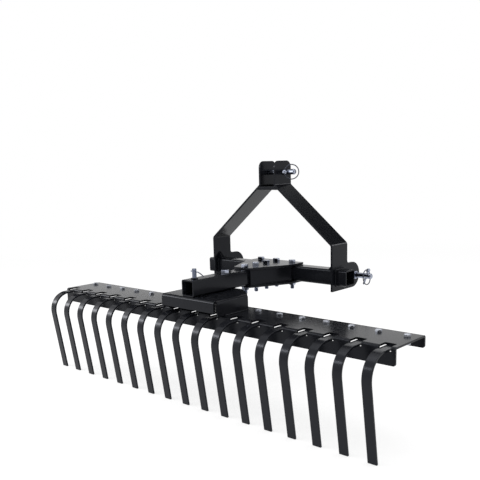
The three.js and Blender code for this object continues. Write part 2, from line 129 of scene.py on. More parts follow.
coolWhite = toLinear("#eef2ff")  # what the coats mirror turns cool in it

# In each look, roughness goes from the noise's low values to its high ones. Speck, cloud and relief start
# with a size in mm. Cloud then has detail and coarseness, and relief has detail, height in mm and strength.
# Powder coat, baked on steel: a hard, glossy skin whose fine orange peel softens what it mirrors
frameCoat = {"light": "#16171b", "dark": "#0f1013", "roughness": (0.14, 0.24), "speck": 0.9,
             "cloud": (70, 4, 0.55), "relief": (2.2, 1, 0.007, 0.6),
             "shader": {"Specular IOR Level": 0.15, "Specular Tint": coolWhite}}
# The tines' coat is thin, and the hot-rolled spring steel under it shows as a coarser peel
tineCoat = {"light": "#18191d", "dark": "#111216", "roughness": (0.16, 0.27), "speck": 1.1,
            "cloud": (55, 4, 0.55), "relief": (3.0, 1, 0.016, 0.6),
            "shader": {"Specular IOR Level": 0.2, "Specular Tint": coolWhite}}
# Bright zinc plate on steel: a cool silver with faint cloudy passivation
zincPlate = {"light": "#b0b5c2", "dark": "#7f8596", "roughness": (0.20, 0.10),
             "cloud": (9, 3, 0.5), "relief": (0.5, 2, 0.006, 0.5), "shader": {"Metallic": 1}}
# Small bolts' zinc: duller, as barrel plating leaves it, and painted paler, a painted light that makes their
# heads read as soft grey discs
zincDullPaintedLight = {"light": "#cfd2d9", "dark": "#a9adb7", "roughness": (0.54, 0.40),
              "cloud": (5, 3, 0.5), "relief": (0.4, 2, 0.006, 0.5), "shader": {"Metallic": 1}}
# The lock pin's zinc is painted a darker blue-grey: a painted shade for the dark reflections that its round
# metal shows
zincPaintedShade = {"light": "#7e8494", "dark": "#4c5262", "roughness": (0.24, 0.12),
            "cloud": (7, 3, 0.5), "relief": (0.5, 2, 0.006, 0.5), "shader": {"Metallic": 1}}
# Drawn spring wire of the linch rings: dull and dark grey beside the plated pins
springWire = {"light": "#5b5e68", "dark": "#40434c", "roughness": (0.40, 0.26),
              "cloud": (6, 3, 0.5), "relief": (0.4, 2, 0.008, 0.5), "shader": {"Metallic": 1}}
noiseSpan = (0.3, 0.7)  # most of a noise's values lie between these


def finishMaterial(name, look):
    material = bpy.data.materials.new(name)
    material.use_nodes = True
    tree = material.node_tree
    shader = tree.nodes["Principled BSDF"]
    spot = addNode(tree, "ShaderNodeTexCoord").outputs["Object"]
    size, detail, coarseness = look["cloud"]
    cloud = addNode(tree, "ShaderNodeTexNoise", inputs={
        "Vector": spot, "Scale": patternScale(size), "Detail": detail, "Roughness": coarseness})
    colour = addNode(tree, "ShaderNodeMix", {"data_type": "RGBA"}, {
        "Factor": cloud.outputs["Fac"], "A": toLinear(look["dark"]), "B": toLinear(look["light"])})
    gloss = cloud  # zinc shines most where it is light, and a coat in specks of its own
    if "speck" in look:
        gloss = addNode(tree, "ShaderNodeTexNoise", inputs={
            "Vector": spot, "Scale": patternScale(look["speck"]), "Detail": 2})
    rough = addNode(tree, "ShaderNodeMapRange", inputs={
        "Value": gloss.outputs["Fac"], "From Min": noiseSpan[0], "From Max": noiseSpan[1],
        "To Min": look["roughness"][0], "To Max": look["roughness"][1]})
    size, detail, height, strength = look["relief"]
    relief = addNode(tree, "ShaderNodeTexNoise", inputs={
        "Vector": spot, "Scale": patternScale(size), "Detail": detail})
    bump = addNode(tree, "ShaderNodeBump", inputs={
        "Height": relief.outputs["Fac"], "Distance": height * mm, "Strength": strength})
    tree.links.new(colour.outputs["Result"], shader.inputs["Base Color"])
    tree.links.new(rough.outputs["Result"], shader.inputs["Roughness"])
    tree.links.new(bump.outputs["Normal"], shader.inputs["Normal"])
    for socket, value in look["shader"].items():
        shader.inputs[socket].default_value = value
    return material


materials = {
    "black_powder_coat": finishMaterial("satinPowderCoat", frameCoat),
    "black_tine_coat": finishMaterial("glossTineCoat", tineCoat),
    "zinc_plate": finishMaterial("brightZincPlate", zincPlate),
}
ringFinish = finishMaterial("dullSpringWire", springWire)
# The small bolts get the duller zinc with painted light on it
boltFinish = finishMaterial("barrelZincPlate", zincDullPaintedLight)
# The lock pin gets the zinc painted darker, a painted shade
lockFinish = finishMaterial("wornZincPlate", zincPaintedShade)
print("materials ready")

# The modelling tools take sizes in mm, and the mesh is in metres
seatGap = 0.3  # left between pieces that seat on each other
overrun = 5  # how far a cutter runs past what it cuts
sink = 1  # how far a piece reaches into the one that it is joined to
near = 0.01  # closer than this is the same place
mergeGap = 0.001  # corners closer than this become one


def deselect():
    for obj in bpy.context.view_layer.objects:
        obj.select_set(False)


def activate(obj):
    deselect()
    obj.select_set(True)
    bpy.context.view_layer.objects.active = obj


def openMesh(obj, kind):
    activate(obj)
    bpy.ops.object.mode_set(mode="EDIT")
    bpy.ops.mesh.select_mode(type=kind)
    bpy.ops.mesh.select_all(action="DESELECT")


def closeMesh():
    bpy.ops.object.mode_set(mode="OBJECT")


# The middle of a corner, edge or face
def middleOf(item):
    if hasattr(item, "co"):
        return item.co.copy()
    return sum((vert.co for vert in item.verts), Vector()) / len(item.verts)


# Selects the corners, edges or faces for which the test holds
def pick(obj, items, test):
    mesh = bmesh.from_edit_mesh(obj.data)
    for item in getattr(mesh, items):
        if test(middleOf(item) / mm, item):
            item.select_set(True)
    bmesh.update_edit_mesh(obj.data)


# A point from its place along an axis and the two that cross it
def place(axis, along, u, v):
    if axis == "x":
        return Vector((along, u, v))
    if axis == "y":
        return Vector((u, along, v))
    return Vector((u, v, along))


def settle(obj):
    activate(obj)
    bpy.ops.object.transform_apply(location=True, rotation=True, scale=True)


def applyModifiers(obj):
    activate(obj)
    for modifier in list(obj.modifiers):
        bpy.ops.object.modifier_apply(modifier=modifier.name)


def facesOut(obj):
    openMesh(obj, "VERT")
    bpy.ops.mesh.select_all(action="SELECT")
    bpy.ops.mesh.remove_doubles(threshold=mergeGap * mm)
    bpy.ops.mesh.normals_make_consistent(inside=False)
    closeMesh()


def carve(obj, cutters, operation="DIFFERENCE"):
    deselect()
    for cutter in cutters:
        cutter.select_set(True)
    bpy.context.view_layer.objects.active = cutters[0]
    if len(cutters) > 1:
        bpy.ops.object.join()
    cutter = bpy.context.view_layer.objects.active
    modifier = obj.modifiers.new("carve", "BOOLEAN")
    modifier.operation = operation
    modifier.object = cutter
    modifier.solver = "EXACT"
    applyModifiers(obj)
    bpy.data.objects.remove(cutter)


def joinPieces(name, objs):
    deselect()
    for obj in objs:
        obj.select_set(True)
    bpy.context.view_layer.objects.active = objs[0]
    bpy.ops.object.join()
    whole = bpy.context.object
    whole.name = name
    return whole


# A copy with a mesh of its own, turned by a matrix and then moved
def copyOf(obj, name, offset=(0, 0, 0), turn=None):
    twin = obj.copy()
    twin.data = obj.data.copy()
    twin.name = name
    bpy.context.collection.objects.link(twin)
    matrix = Matrix.Translation(Vector(offset) * mm)
    if turn is not None:
        matrix = matrix @ turn
    twin.data.transform(matrix)
    return twin


def movedTo(obj, name, offset=(0, 0, 0), turn=None):
    moved = copyOf(obj, name, offset, turn)
    bpy.data.objects.remove(obj)
    return moved


# Sharp edges get a small round, as a worker breaks them
def easeEdges(obj, width, segments=2, angle=32):
    bevel = obj.modifiers.new("ease", "BEVEL")
    bevel.width = width * mm
    bevel.segments = segments
    bevel.limit_method = "ANGLE"
    bevel.angle_limit = math.radians(angle)
    bevel.use_clamp_overlap = True
    applyModifiers(obj)


def smoothOver(obj, angle=35):
    activate(obj)
    bpy.ops.object.shade_smooth_by_angle(angle=math.radians(angle))
    weighted = obj.modifiers.new("weighted", "WEIGHTED_NORMAL")
    weighted.keep_sharp = True
    applyModifiers(obj)


# The angle by which a path turns at a corner
def turnOf(before, here, after):
    a = (Vector(here) - Vector(before)).normalized()
    b = (Vector(after) - Vector(here)).normalized()
    return a.angle(b)


def thicken(sheet, wall, side):
    solidify = sheet.modifiers.new("wall", "SOLIDIFY")
    solidify.thickness = wall * mm
    solidify.offset = side
    solidify.use_even_offset = True
    applyModifiers(sheet)
    facesOut(sheet)


# A sheet folded along a path in the plane across the axis; the metal lies to the left of the path
def foldedSheet(name, axis, span, path, radii, wall, segments):
    bpy.ops.mesh.primitive_plane_add(size=1)
    sheet = bpy.context.object
    sheet.name = name
    for vert in sheet.data.vertices:
        along = span[0] if vert.co.x < 0 else span[1]
        u, v = path[0] if vert.co.y < 0 else path[1]
        vert.co = place(axis, along, u, v) * mm
    openMesh(sheet, "EDGE")

    def onCorner(corner):
        def test(spot, edge):
            return all((vert.co / mm - place(axis, (vert.co / mm)["xyz".index(axis)], *corner)).length < near
                       for vert in edge.verts)
        return test

    for i in range(2, len(path)):
        bpy.ops.mesh.select_all(action="DESELECT")
        pick(sheet, "edges", onCorner(path[i - 1]))
        step = place(axis, 0, path[i][0] - path[i - 1][0], path[i][1] - path[i - 1][1]) * mm
        bpy.ops.mesh.extrude_edges_move(TRANSFORM_OT_translate={"value": step})
    for i, radius in radii.items():
        turn = turnOf(path[i - 1], path[i], path[i + 1])
        bpy.ops.mesh.select_all(action="DESELECT")
        pick(sheet, "edges", onCorner(path[i]))
        bpy.ops.mesh.bevel(offset=radius * math.tan(turn / 2) * mm, offset_type="OFFSET",
                           segments=segments, affect="EDGES")
    closeMesh()
    along = Vector((path[1][0] - path[0][0], path[1][1] - path[0][1])).normalized()
    left = place(axis, 0, -along.y, along.x)
    start = place(axis, sum(span) / 2, *path[0]) * mm
    first = min(sheet.data.polygons, key=lambda face: min((sheet.data.vertices[i].co - start).length
                                                          for i in face.vertices))
    thicken(sheet, wall, 1 if first.normal.dot(left) > 0 else -1)
    return sheet


# A flat plate from its outline, with some corners rounded, thickened along the axis
def flatPlate(name, axis, low, high, outline, radii=None, segments=8):
    bpy.ops.mesh.primitive_circle_add(vertices=len(outline), radius=1, fill_type="NGON")
    plate = bpy.context.object
    plate.name = name
    for vert, (u, v) in zip(plate.data.vertices, outline):
        vert.co = place(axis, low, u, v) * mm
    for i, radius in (radii or {}).items():
        corner = place(axis, low, *outline[i])
        before = outline[i - 1]
        after = outline[(i + 1) % len(outline)]
        inside = math.pi - turnOf(before, outline[i], after)
        openMesh(plate, "VERT")
        pick(plate, "verts", lambda spot, vert: (spot - corner).length < near)
        bpy.ops.mesh.bevel(offset=radius / math.tan(inside / 2) * mm, offset_type="OFFSET",
                           segments=segments, affect="VERTICES")
        closeMesh()
    openMesh(plate, "FACE")
    bpy.ops.mesh.select_all(action="SELECT")
    step = place(axis, high - low, 0, 0) * mm
    bpy.ops.mesh.extrude_region_move(TRANSFORM_OT_translate={"value": step})
    closeMesh()
    facesOut(plate)
    return plate


def roundBar(axis, centre, radius, low, high, sides=32):
    turns = {"x": (0, math.pi / 2, 0), "y": (math.pi / 2, 0, 0), "z": (0, 0, 0)}
    middle = place(axis, (low + high) / 2, *centre) * mm
    bpy.ops.mesh.primitive_cylinder_add(vertices=sides, radius=radius * mm, depth=(high - low) * mm,
                                        location=middle, rotation=turns[axis])
    bar = bpy.context.object
    settle(bar)
    return bar


# A turned piece on the Z axis from height and radius pairs, drawn out ring by ring
def turnedPiece(name, profile, sides=40):
    height, radius = profile[0]
    bpy.ops.mesh.primitive_circle_add(vertices=sides, radius=radius * mm, fill_type="NGON",
                                      location=(0, 0, height * mm))
    piece = bpy.context.object
    piece.name = name
    settle(piece)
    openMesh(piece, "FACE")
    bpy.ops.mesh.select_all(action="SELECT")
    for nextHeight, nextRadius in profile[1:]:
        step = (0, 0, (nextHeight - height) * mm)
        bpy.ops.mesh.extrude_region_move(TRANSFORM_OT_translate={"value": step})
        grow = nextRadius / radius
        bpy.ops.transform.resize(value=(grow, grow, 1), center_override=(0, 0, nextHeight * mm))
        height, radius = nextHeight, nextRadius
    closeMesh()
    facesOut(piece)
    return piece


hexEnd = {"faceShare": 0.94, "slope": math.sqrt(3), "ease": 0.25}  # the flat face's share of the flats


# A hexagon with its corners turned off at the end that shows
def chamferedHex(flats, low, high, showsTop):
    hexagon = roundBar("z", (0, 0), flats / math.sqrt(3), low, high, sides=6)
    narrow = hexEnd["faceShare"] * flats / 2
    wide = narrow + (high - low) * hexEnd["slope"]
    radii = (wide, narrow) if showsTop else (narrow, wide)
    bpy.ops.mesh.primitive_cone_add(vertices=48, radius1=radii[0] * mm, radius2=radii[1] * mm,
                                    depth=(high - low) * mm, location=(0, 0, (low + high) / 2 * mm))
    cone = bpy.context.object
    settle(cone)
    carve(hexagon, [cone], "INTERSECT")
    easeEdges(hexagon, hexEnd["ease"], segments=1, angle=25)
    return hexagon


thread = {"depthShare": 0.5, "lead": 0.8}


# Rings of the pitch's height stand for the thread, with a chamfer as its lead
def threadProfile(low, high, radius, pitch):
    depth = thread["depthShare"] * pitch
    height = low + thread["lead"]
    profile = [(low, radius - depth - thread["lead"]), (height, radius - depth)]
    while height + pitch < high:
        profile += [(height + pitch / 2, radius), (height + pitch, radius - depth)]
        height += pitch
    profile.append((high, radius))
    return profile


def boltWithNut(name, size):
    parts = [chamferedHex(size["flats"], size["seat"], size["headTop"], True),
             chamferedHex(size["flats"], size["nutLow"], size["nutTop"], False),
             turnedPiece("shank", threadProfile(size["tail"], size["nutLow"], size["radius"], size["pitch"])
                         + [(size["seat"] + sink, size["radius"])], sides=28)]
    bolt = joinPieces(name, parts)
    smoothOver(bolt)
    return bolt


# A round bar's curve, to be given its route
def roundCurve(name, radius, resolution, caps=True):
    curve = bpy.data.curves.new(name, "CURVE")
    curve.dimensions = "3D"
    curve.bevel_depth = radius * mm
    curve.bevel_resolution = resolution
    curve.use_fill_caps = caps
    return curve


def meshOfCurve(name, curve):
    bar = bpy.data.objects.new(name, curve)
    bpy.context.collection.objects.link(bar)
    activate(bar)
    bpy.ops.object.convert(target="MESH")
    return bpy.context.object


# Gives a piece its material, from its record slot unless a finish is given, and its body, and hides the nodes
# that it stands for
def dress(piece, body, slot, *nodes, finish=None):
    piece.data.materials.clear()
    piece.data.materials.append(finish or materials[slot])
    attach(piece, body)
    if nodes:
        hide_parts(*nodes)


def easeAndDress(piece, ease, body, slot, node):
    easeEdges(piece, ease)
    smoothOver(piece)
    dress(piece, body, slot, node)


# Hitch frame sizes that several pieces share, in mm
hitch = {
    "tube": 45, "tubeWall": 4, "tubeRound": 6, "tubeMiddle": 1.5,
    "crossbarY": -63.5, "crossbarHalf": 267,
    "boomRear": -437.3, "boomFront": -86.3,
    "pivotY": -291.3, "beamBehind": 126, "indexRadius": 119,
    "pivotHole": 7.4, "lockHole": 6.4, "boltHole": 6.4, "ease": 0.4,
}
tubeTop = hitch["tubeMiddle"] + hitch["tube"] / 2
tubeLow = hitch["tubeMiddle"] - hitch["tube"] / 2
deckTop = -63.5
lockY = hitch["pivotY"] - hitch["indexRadius"]
beamRear = hitch["pivotY"] - hitch["beamBehind"]


# Beam: a channel folded from 5 mm sheet, notched at each tine
beam = {"length": 1219, "depth": 134, "wall": 5, "fold": 6, "rearFlange": 42, "frontLip": 30,
        "notch": (30, 28, 12), "notchRound": 5,  # the notch's width, its depth and its drop down the flange
        "cornerRound": 5, "boltInset": 36.6, "hole": 4.4, "ease": 0.5}
tineCount = 17
tinePitch = 73
tineStations = [(i - tineCount // 2) * tinePitch for i in range(tineCount)]


def makeBeam():
    front = beamRear + beam["depth"]
    piece = foldedSheet("beamPiece", "x", (-beam["length"] / 2, beam["length"] / 2),
                        [(front, deckTop - beam["frontLip"]), (front, deckTop), (beamRear, deckTop),
                         (beamRear, deckTop - beam["rearFlange"])],
                        {1: beam["fold"], 2: beam["fold"]}, beam["wall"], 8)
    openMesh(piece, "EDGE")
    for y, drop in ((beamRear, beam["rearFlange"]), (front, beam["frontLip"])):
        pick(piece, "edges", lambda spot, edge: abs(spot.y - y) < beam["wall"]
             and abs(edge.verts[0].co.x - edge.verts[1].co.x) < near * mm
             and abs(spot.z - deckTop + drop) < near)
    bpy.ops.mesh.bevel(offset=beam["cornerRound"] * mm, offset_type="OFFSET", segments=6, affect="EDGES")
    closeMesh()
    width, depth, drop = beam["notch"]
    notch = flatPlate("notchTool", "z", deckTop - drop, deckTop + overrun,
                      [(-width / 2, beamRear - overrun), (width / 2, beamRear - overrun),
                       (width / 2, beamRear + depth), (-width / 2, beamRear + depth)],
                      {2: beam["notchRound"], 3: beam["notchRound"]})
    hole = roundBar("z", (0, front - beam["boltInset"]), beam["hole"],
                    deckTop - beam["wall"] - overrun, deckTop + overrun)
    tools = []
    for station in tineStations:
        tools += [copyOf(tool, "toolCopy", (station, 0, 0)) for tool in (notch, hole)]
    for tool in (notch, hole):
        bpy.data.objects.remove(tool)
    carve(piece, tools)
    easeAndDress(piece, beam["ease"], "rake_head", "black_powder_coat", "rake_beam")


makeBeam()
print("beam ready")


# Tines: flat spring steel, level under the deck and bent down behind the beam
tine = {"width": 23.5, "thick": 5.5, "top": -5.05, "frontInset": 19, "reach": 73.2, "bend": 57, "lean": 8.5,
        "drop": 253, "ease": 1.0}


def makeTines():
    lean = math.radians(tine["lean"])
    bendCentre = beamRear - tine["reach"] + tine["bend"]
    corner = bendCentre - tine["bend"] * (math.cos(lean) + (1 + math.sin(lean)) * math.tan(lean))
    tip = corner + (tine["drop"] + tine["top"]) * math.tan(lean)
    top = deckTop + tine["top"]
    first = foldedSheet("tinePiece", "x", (-tine["width"] / 2, tine["width"] / 2),
                        [(beamRear + beam["depth"] - tine["frontInset"], top), (corner, top),
                         (tip, deckTop - tine["drop"])], {1: tine["bend"]}, tine["thick"], segments=28)
    easeEdges(first, tine["ease"], segments=3)
    smoothOver(first)
    for i, station in enumerate(tineStations):
        piece = copyOf(first, f"tinePiece{i + 1:02d}", (station, 0, 0))
        dress(piece, "rake_head", "black_tine_coat", f"tine_{i + 1:02d}")
    bpy.data.objects.remove(first)


makeTines()
print("tines ready")


# Bolts through the deck and the tines, their heads a little wider than M8 ones, as the photograph shows them
tineBolt = {"radius": 4, "flats": 14.5, "seat": 0.3, "headTop": 5.6, "nutTop": -11.1, "nutLow": -17.9,
            "tail": -19.9, "pitch": 1.25}
hexTurn = 60  # degrees after which a hexagon repeats


# Copies of a bolt at numbered spots, each head as the wrench left it
def setBolts(name, size, spots, body, node, finish=None):
    first = boltWithNut(name, size)
    for label, spot in spots:
        piece = copyOf(first, f"{name}{label}", spot, rotation(random.uniform(0, hexTurn), "Z"))
        dress(piece, body, "zinc_plate", f"{node}_{label}", finish=finish)
    bpy.data.objects.remove(first)


def makeTineBolts():
    boltY = beamRear + beam["depth"] - beam["boltInset"]
    spots = [(f"{i + 1:02d}", (station, boltY, deckTop)) for i, station in enumerate(tineStations)]
    setBolts("tineBoltPiece", tineBolt, spots, "rake_head", "tine_bolt", boltFinish)


makeTineBolts()
print("tine bolts ready")


# Saddle: a pan folded from 5 mm sheet, open at the front, with a tongue to the pivot
saddle = {"height": 42, "wall": 5, "fold": 9, "half": 108, "rear": 151.5, "lip": 9.5, "relief": 8,
          "sideFront": 26, "tongue": 22.5, "tongueHalf": 45, "tongueRound": 8,
          "indexHole": 7.3, "index": (-30, -15, 0, 15, 30), "drillLow": 20, "ease": 0.6}


def makeSaddle():
    pivotY = hitch["pivotY"]
    high = deckTop + saddle["height"]
    rear = pivotY - saddle["rear"]
    half = saddle["half"]
    sides = foldedSheet("saddlePiece", "y", (rear + saddle["relief"], pivotY - saddle["sideFront"]),
                        [(half, deckTop + seatGap), (half, high), (-half, high), (-half, deckTop + seatGap)],
                        {1: saddle["fold"], 2: saddle["fold"]}, saddle["wall"], 10)
    backHalf = half - saddle["relief"]
    front = pivotY + saddle["tongue"]
    spine = foldedSheet("saddleSpine", "x", (-backHalf, backHalf),
                        [(front, high), (rear, high), (rear, deckTop + saddle["lip"])],
                        {1: saddle["fold"]}, saddle["wall"], 10)
    plan = flatPlate("saddlePlan", "z", deckTop, high + overrun,
                     [(-half, rear - overrun), (half, rear - overrun), (half, pivotY - saddle["sideFront"]),
                      (saddle["tongueHalf"], front), (-saddle["tongueHalf"], front),
                      (-half, pivotY - saddle["sideFront"])],
                     {3: saddle["tongueRound"], 4: saddle["tongueRound"]})
    carve(spine, [plan], "INTERSECT")
    carve(sides, [spine], "UNION")
    drillLow = deckTop + saddle["drillLow"]
    tools = [roundBar("z", (0, pivotY), hitch["pivotHole"], drillLow, high + overrun)]
    for degrees in saddle["index"]:
        angle = math.radians(degrees)
        spot = (hitch["indexRadius"] * math.sin(angle), pivotY - hitch["indexRadius"] * math.cos(angle))
        tools.append(roundBar("z", spot, saddle["indexHole"], drillLow, high + overrun))
    carve(sides, tools)
    easeAndDress(sides, saddle["ease"], "rake_head", "black_powder_coat", "swivel_saddle")


makeSaddle()
print("saddle ready")


# Boom and crossbar: 45 mm square tube, open at the ends
def squareTube(name, axis, low, high, centre):
    side = hitch["tube"]
    middle = place(axis, (low + high) / 2, *centre)
    size = place(axis, high - low, side, side)
    bpy.ops.mesh.primitive_cube_add(size=1, location=middle * mm, scale=size * mm)
    tube = bpy.context.object
    tube.name = name
    settle(tube)
    index = "xyz".index(axis)
    openMesh(tube, "FACE")
    pick(tube, "faces", lambda spot, face: abs(face.normal[index]) > 0.9)  # the two ends
    bpy.ops.mesh.delete(type="ONLY_FACE")
    bpy.ops.mesh.select_mode(type="EDGE")
    pick(tube, "edges", lambda spot, edge: abs(spot[index] - (low + high) / 2) < 1)  # the four long edges
    bpy.ops.mesh.bevel(offset=hitch["tubeRound"] * mm, offset_type="OFFSET", segments=8, affect="EDGES")
    closeMesh()
    thicken(tube, hitch["tubeWall"], -1)
    return tube


boltPitch = 48
crossPitch = 61
junctionPlaces = [(0, hitch["crossbarY"] - (i + 1) * boltPitch) for i in range(3)]
junctionPlaces += [(side * crossPitch, hitch["crossbarY"]) for side in (-1, 0, 1)]
lockBush = {"radius": 10, "height": 3, "chamfer": 0.8}


def makeTubes():
    boom = squareTube("boomPiece", "y", hitch["boomRear"], hitch["boomFront"], (0, hitch["tubeMiddle"]))
    bushTop = tubeTop + lockBush["height"]
    bush = turnedPiece("bushPiece", [(tubeTop - sink, lockBush["radius"]),
                                     (bushTop - lockBush["chamfer"], lockBush["radius"]),
                                     (bushTop, lockBush["radius"] - lockBush["chamfer"])])
    carve(boom, [movedTo(bush, "lockBushPiece", (0, lockY, 0))], "UNION")
    drills = [((0, hitch["pivotY"]), hitch["pivotHole"], tubeTop), ((0, lockY), hitch["lockHole"], bushTop)]
    drills += [(spot, hitch["boltHole"], tubeTop) for spot in junctionPlaces[:3]]
    carve(boom, [roundBar("z", spot, radius, tubeLow - overrun, top + overrun)
                 for spot, radius, top in drills])
    easeAndDress(boom, hitch["ease"], "hitch_frame", "black_powder_coat", "boom_tube")
    crossbar = squareTube("crossbarPiece", "x", -hitch["crossbarHalf"], hitch["crossbarHalf"],
                          (hitch["crossbarY"], hitch["tubeMiddle"]))
    carve(crossbar, [roundBar("z", spot, hitch["boltHole"], tubeLow - overrun, tubeTop + overrun)
                     for spot in junctionPlaces[3:]])
    easeAndDress(crossbar, hitch["ease"], "hitch_frame", "black_powder_coat", "crossbar_tube")


makeTubes()
print("tubes ready")


# Gusset box: plates above and below the tubes, with slanted webs between them
gusset = {"wall": 6, "rearHalf": 30, "frontHalf": 88, "rear": 158.5, "shoulder": 37, "front": 22.5,
          "round": 4, "webRear": 153, "webRearX": 22.8, "webFrontX": 70, "ease": 0.5}
webRearY = hitch["crossbarY"] - gusset["webRear"]
webSlant = math.atan2(gusset["webFrontX"] - gusset["webRearX"], hitch["boomFront"] - webRearY)
webWide = gusset["wall"] / math.cos(webSlant)  # the slanted wall, measured along X


def gussetPlate(name, low, high):
    y = hitch["crossbarY"]
    outline = [(-gusset["rearHalf"], y - gusset["rear"]), (gusset["rearHalf"], y - gusset["rear"]),
               (gusset["frontHalf"], y - gusset["shoulder"]), (gusset["frontHalf"], y + gusset["front"]),
               (-gusset["frontHalf"], y + gusset["front"]), (-gusset["frontHalf"], y - gusset["shoulder"])]
    plate = flatPlate(name, "z", low, high, outline, {i: gusset["round"] for i in (0, 1, 3, 4)})
    carve(plate, [roundBar("z", spot, hitch["boltHole"], low - overrun, high + overrun)
                  for spot in junctionPlaces])
    easeEdges(plate, gusset["ease"])
    return plate


def makeGussetBox():
    topPlate = gussetPlate("gussetTopPiece", tubeTop + seatGap, tubeTop + seatGap + gusset["wall"])
    smoothOver(topPlate)
    dress(topPlate, "hitch_frame", "black_powder_coat", "gusset_plate_top")
    parts = [gussetPlate("gussetPanPiece", tubeLow - seatGap - gusset["wall"], tubeLow - seatGap)]
    rear, front = gusset["webRearX"], gusset["webFrontX"]
    for side in (-1, 1):
        web = flatPlate("gussetWeb", "z", tubeLow - seatGap - gusset["wall"] / 2, tubeTop,
                        [(side * rear, webRearY), (side * (rear + webWide), webRearY),
                         (side * (front + webWide), hitch["boomFront"]), (side * front, hitch["boomFront"])])
        easeEdges(web, gusset["ease"])
        parts.append(web)
    pan = joinPieces("gussetPanPiece", parts)
    smoothOver(pan)
    dress(pan, "hitch_frame", "black_powder_coat", "gusset_pan_bottom")


makeGussetBox()

# M12 bolts where the boom meets the crossbar, and the pivot bolt
junctionBolt = {"radius": 6, "flats": 18, "seat": 29.1, "headTop": 37.1, "nutTop": -29.1, "nutLow": -39.1,
                "tail": -51.1, "pitch": 1.75}
pivotBolt = {"radius": 7, "flats": 21, "seat": tubeTop + seatGap, "headTop": tubeTop + 9.3,
             "nutTop": deckTop + 36.7, "nutLow": deckTop + 25.7, "tail": deckTop + 22.7, "pitch": 2,
             "turn": 42}


def makeFrameBolts():
    spots = [(i + 1, (x, y, hitch["tubeMiddle"])) for i, (x, y) in enumerate(junctionPlaces)]
    setBolts("junctionBoltPiece", junctionBolt, spots, "hitch_frame", "junction_bolt")
    pivot = movedTo(boltWithNut("pivotBoltPiece", pivotBolt), "pivotBolt", (0, hitch["pivotY"], 0),
                    rotation(pivotBolt["turn"], "Z"))
    dress(pivot, "hitch_frame", "zinc_plate", "pivot_bolt")


makeFrameBolts()
print("gusset box and its bolts ready")


# Mast: one bent 6 mm plate a side, with the lobe for the lower pin and the ear for the top pin
mast = {"wall": 6, "width": 75, "leg": 232.4, "bottom": 37, "knee": 95.5, "ear": 31.3, "earBend": 261.5,
        "top": 331, "earRound": 20, "bend": 5, "neck": 8, "pinHole": 8.4, "pinHeight": 298,
        "gussetWide": 20, "gussetHigh": 22, "gussetThick": 10, "gussetBack": 15, "spacerLow": 246.5,
        "spacerThick": 10, "ease": 0.6}
mastRear = hitch["crossbarY"] - mast["width"] / 2
mastFront = hitch["crossbarY"] + mast["width"] / 2


def makeMastSide():
    y = hitch["crossbarY"]
    lobe = mast["bottom"]
    legOut = mast["leg"] + overrun
    strip = foldedSheet("mastPiece", "y", (mastRear, lobe),
                        [(mast["leg"], -lobe), (mast["leg"], mast["knee"]), (mast["ear"], mast["earBend"]),
                         (mast["ear"], mast["top"])],
                        {1: mast["bend"] + mast["wall"], 2: mast["bend"]}, mast["wall"], 10)
    side = flatPlate("mastSideView", "x", 0, legOut,
                     [(mastRear, -lobe), (lobe, -lobe), (lobe, lobe), (mastFront, lobe),
                      (mastFront, mast["top"]), (mastRear, mast["top"])],
                     {1: lobe - near, 2: lobe - near, 3: mast["neck"], 4: mast["earRound"],
                      5: mast["earRound"]}, segments=16)
    carve(strip, [side], "INTERSECT")
    inner = mast["leg"] - mast["wall"]
    window = hitch["tube"] / 2 + seatGap
    middle = hitch["tubeMiddle"]
    tubeWindow = flatPlate("tubeWindow", "x", inner - overrun, legOut,
                           [(y - window, middle - window), (y + window, middle - window),
                            (y + window, middle + window), (y - window, middle + window)],
                           {i: hitch["tubeRound"] for i in range(4)})
    lowerHole = roundBar("x", (0, 0), mast["pinHole"], inner - overrun, legOut)
    topHole = roundBar("x", (y, mast["pinHeight"]), mast["pinHole"], mast["ear"] - mast["wall"] - overrun,
                       mast["ear"] + overrun)
    carve(strip, [tubeWindow, lowerHole, topHole])
    easeEdges(strip, mast["ease"])
    base = tubeTop + seatGap
    back = y - mast["gussetBack"]
    root = inner + 2 * sink
    legGusset = flatPlate("legGusset", "y", back - mast["gussetThick"] / 2, back + mast["gussetThick"] / 2,
                          [(inner - mast["gussetWide"], base), (root, base),
                           (root, base + mast["gussetHigh"]), (inner, base + mast["gussetHigh"])])
    easeEdges(legGusset, mast["ease"])
    return joinPieces("mastPiece", [strip, legGusset])


def makeMast():
    right = makeMastSide()
    left = copyOf(right, "mastLeftPiece", turn=Matrix.Scale(-1, 4, (1, 0, 0)))
    facesOut(left)
    for piece, side in ((right, "right"), (left, "left")):
        smoothOver(piece)
        dress(piece, "hitch_frame", "black_powder_coat", f"mast_side_{side}")
    slope = (mast["leg"] - mast["ear"]) / (mast["earBend"] - mast["knee"])
    gap = (mast["wall"] + seatGap) * math.hypot(1, slope)

    def innerAt(z):
        return mast["ear"] + (mast["earBend"] - z) * slope - gap

    low = mast["spacerLow"]
    high = low + mast["spacerThick"]
    spacer = flatPlate("spacerPiece", "y", mastRear, mastFront,
                       [(-innerAt(low), low), (innerAt(low), low),
                        (innerAt(high), high), (-innerAt(high), high)])
    easeAndDress(spacer, mast["ease"], "hitch_frame", "black_powder_coat", "mast_spacer")


makeMast()
print("mast ready")


